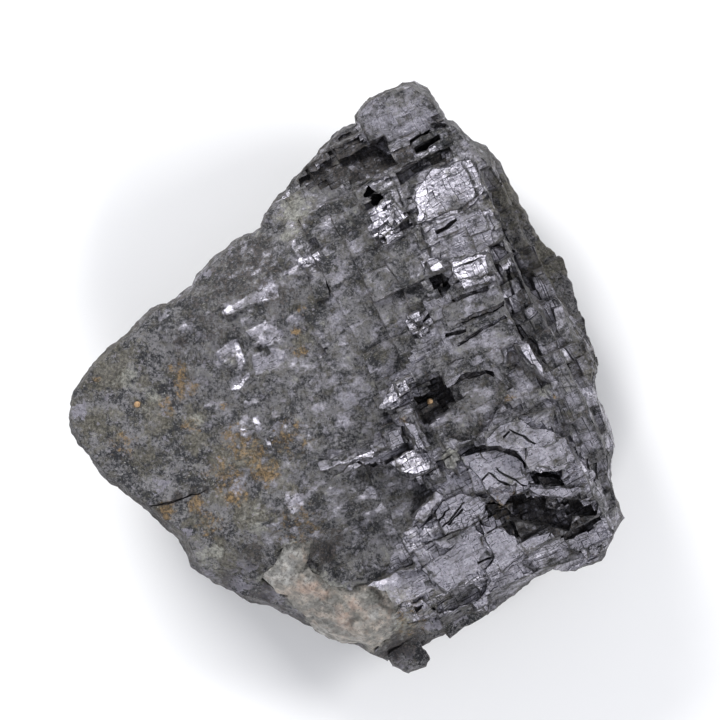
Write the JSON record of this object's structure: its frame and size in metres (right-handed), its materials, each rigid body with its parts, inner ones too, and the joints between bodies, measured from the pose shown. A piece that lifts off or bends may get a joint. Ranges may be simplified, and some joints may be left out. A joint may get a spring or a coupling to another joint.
{
  "type": "galena specimen",
  "caption": "Hand specimen of massive galena with stepped cubic cleavage on brown-grey wall rock, with a patch of pinkish calcite. Lies on its flat broken back.",
  "frame": {"origin": "centre of the footprint of the bounding box, on the plane of the flat broken back that the specimen lies on", "axes": "+Z out of the cleaved front, which faces up; +Y along the specimen's length, towards its upper point; +X to the right when the front is seen from above with +Y up"},
  "size_m": [0.0756, 0.081, 0.0346],
  "materials": {
    "galena": "lead-grey metallic lustre on cleaved faces, dull where weathered",
    "wall_rock": "matte, broken and weathered, with rusty stains",
    "calcite": "lumpy, pinkish cream, slightly waxy"
  },
  "bodies": {
    "root": {"galena": "galena", "wall_rock": "wall_rock", "calcite": "calcite"}
  },
  "joints": []
}
